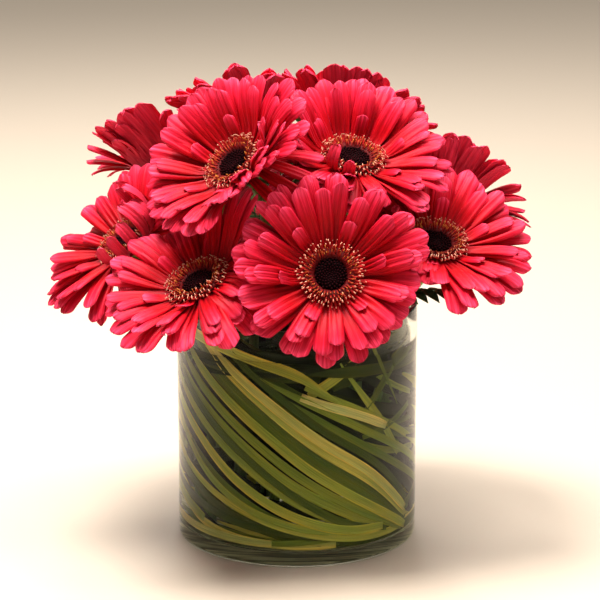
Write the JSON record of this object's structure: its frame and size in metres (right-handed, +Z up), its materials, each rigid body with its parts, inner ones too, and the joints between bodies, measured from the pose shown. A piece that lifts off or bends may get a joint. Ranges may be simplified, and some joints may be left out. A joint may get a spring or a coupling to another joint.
{
  "type": "gerberas in a vase",
  "caption": "Domed bouquet of crimson gerberas standing in a clear glass cylinder vase of water, with strap leaves coiled inside the glass.",
  "frame": {"origin": "centre of the underside of the vase", "axes": "+Z up along the vase, -Y towards the bouquet's front, +X to the right seen from the front"},
  "size_m": [0.3044, 0.268, 0.2976],
  "materials": {
    "glass": "clear smooth glass",
    "water": "clear water, faintly green",
    "strap_leaf": "smooth strap leaf with fine long veins, satin",
    "sprig_leaf": "dark green satin leaf",
    "stem": "green stem with short pale hairs",
    "petal": "crimson pink petal, velvety, with fine long ridges",
    "floret": "red-brown disc florets with pale tips",
    "eye": "near black, matt buds"
  },
  "bodies": {
    "root": {"vase": "glass", "water": "water", "strap_leaf_1": "strap_leaf", "strap_leaf_2": "strap_leaf", "strap_leaf_3": "strap_leaf", "strap_leaf_4": "strap_leaf", "strap_leaf_5": "strap_leaf", "strap_leaf_6": "strap_leaf", "strap_leaf_7": "strap_leaf", "strap_leaf_8": "strap_leaf", "sprig": "sprig_leaf", "front_stem": "stem", "front_petals": "petal", "front_florets": "floret", "front_eye": "eye", "upper_left_stem": "stem", "upper_left_petals": "petal", "upper_left_florets": "floret", "upper_left_eye": "eye", "upper_right_stem": "stem", "upper_right_petals": "petal", "upper_right_florets": "floret", "upper_right_eye": "eye", "right_stem": "stem", "right_petals": "petal", "right_florets": "floret", "right_eye": "eye", "lower_left_stem": "stem", "lower_left_petals": "petal", "lower_left_florets": "floret", "lower_left_eye": "eye", "far_left_stem": "stem", "far_left_petals": "petal", "far_left_florets": "floret", "far_left_eye": "eye", "top_right_stem": "stem", "top_right_petals": "petal", "top_right_florets": "floret", "top_right_eye": "eye", "top_left_stem": "stem", "top_left_petals": "petal", "top_left_florets": "floret", "top_left_eye": "eye", "right_back_stem": "stem", "right_back_petals": "petal", "right_back_florets": "floret", "right_back_eye": "eye", "left_back_stem": "stem", "left_back_petals": "petal", "left_back_florets": "floret", "left_back_eye": "eye", "back_right_stem": "stem", "back_right_petals": "petal", "back_right_florets": "floret", "back_right_eye": "eye", "back_left_stem": "stem", "back_left_petals": "petal", "back_left_florets": "floret", "back_left_eye": "eye"}
  },
  "joints": []
}
